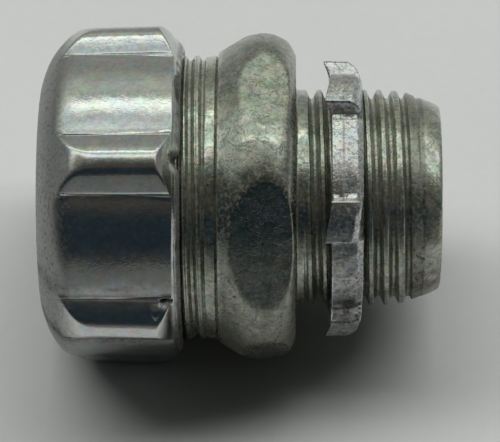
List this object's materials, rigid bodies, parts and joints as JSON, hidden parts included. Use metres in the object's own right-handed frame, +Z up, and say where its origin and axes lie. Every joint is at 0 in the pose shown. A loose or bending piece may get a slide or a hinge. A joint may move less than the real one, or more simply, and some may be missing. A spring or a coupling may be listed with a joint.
{
  "type": "conduit compression fitting",
  "caption": "Steel compression connector for rigid conduit: domed ridged nut and split ring grip the conduit; a threaded end with locknut fixes it in a box knockout.",
  "frame": {"origin": "on the fitting's axis, half way between the nut's open end and the nose of the male thread", "axes": "+X along the axis from the conduit end to the box end, +Z up as the fitting lies on its side, with a round flank of the nut straight up and straight down"},
  "size_m": [0.048, 0.043, 0.0386],
  "materials": {
    "body_zinc": "zinc plated, mottled and dulled, dirt in the thread roots",
    "nut_zinc": "bright zinc plated, tumbled, turned chamfer",
    "ring_steel": "plain zinc plated spring steel",
    "lock_zinc": "zinc plated punched steel with scuffed lugs"
  },
  "bodies": {
    "fitting_body": {"fitting_body": "body_zinc"},
    "compression_ring": {"compression_ring": "ring_steel"},
    "compression_nut": {"compression_nut": "nut_zinc"},
    "locknut": {"locknut": "lock_zinc"}
  },
  "joints": [
    {"name": "gland_slide", "type": "slide", "parent": "fitting_body", "child": "compression_ring", "axis": [1, 0, 0], "range_m": [-0.00636, 0.0008]},
    {"name": "nut_turn", "type": "hinge", "parent": "compression_ring", "child": "compression_nut", "pos_m": [0, 0, 0], "axis": [1, 0, 0], "range_deg": [-1440, 180]},
    {"name": "locknut_turn", "type": "hinge", "parent": "fitting_body", "child": "locknut", "pos_m": [0.01265, 0, 0], "axis": [1, 0, 0], "range_deg": [-510, 2130]}
  ],
  "couplings": [
    {"joint": "gland_slide", "follows": "nut_turn", "m_per_rad": 0.00025266}
  ]
}
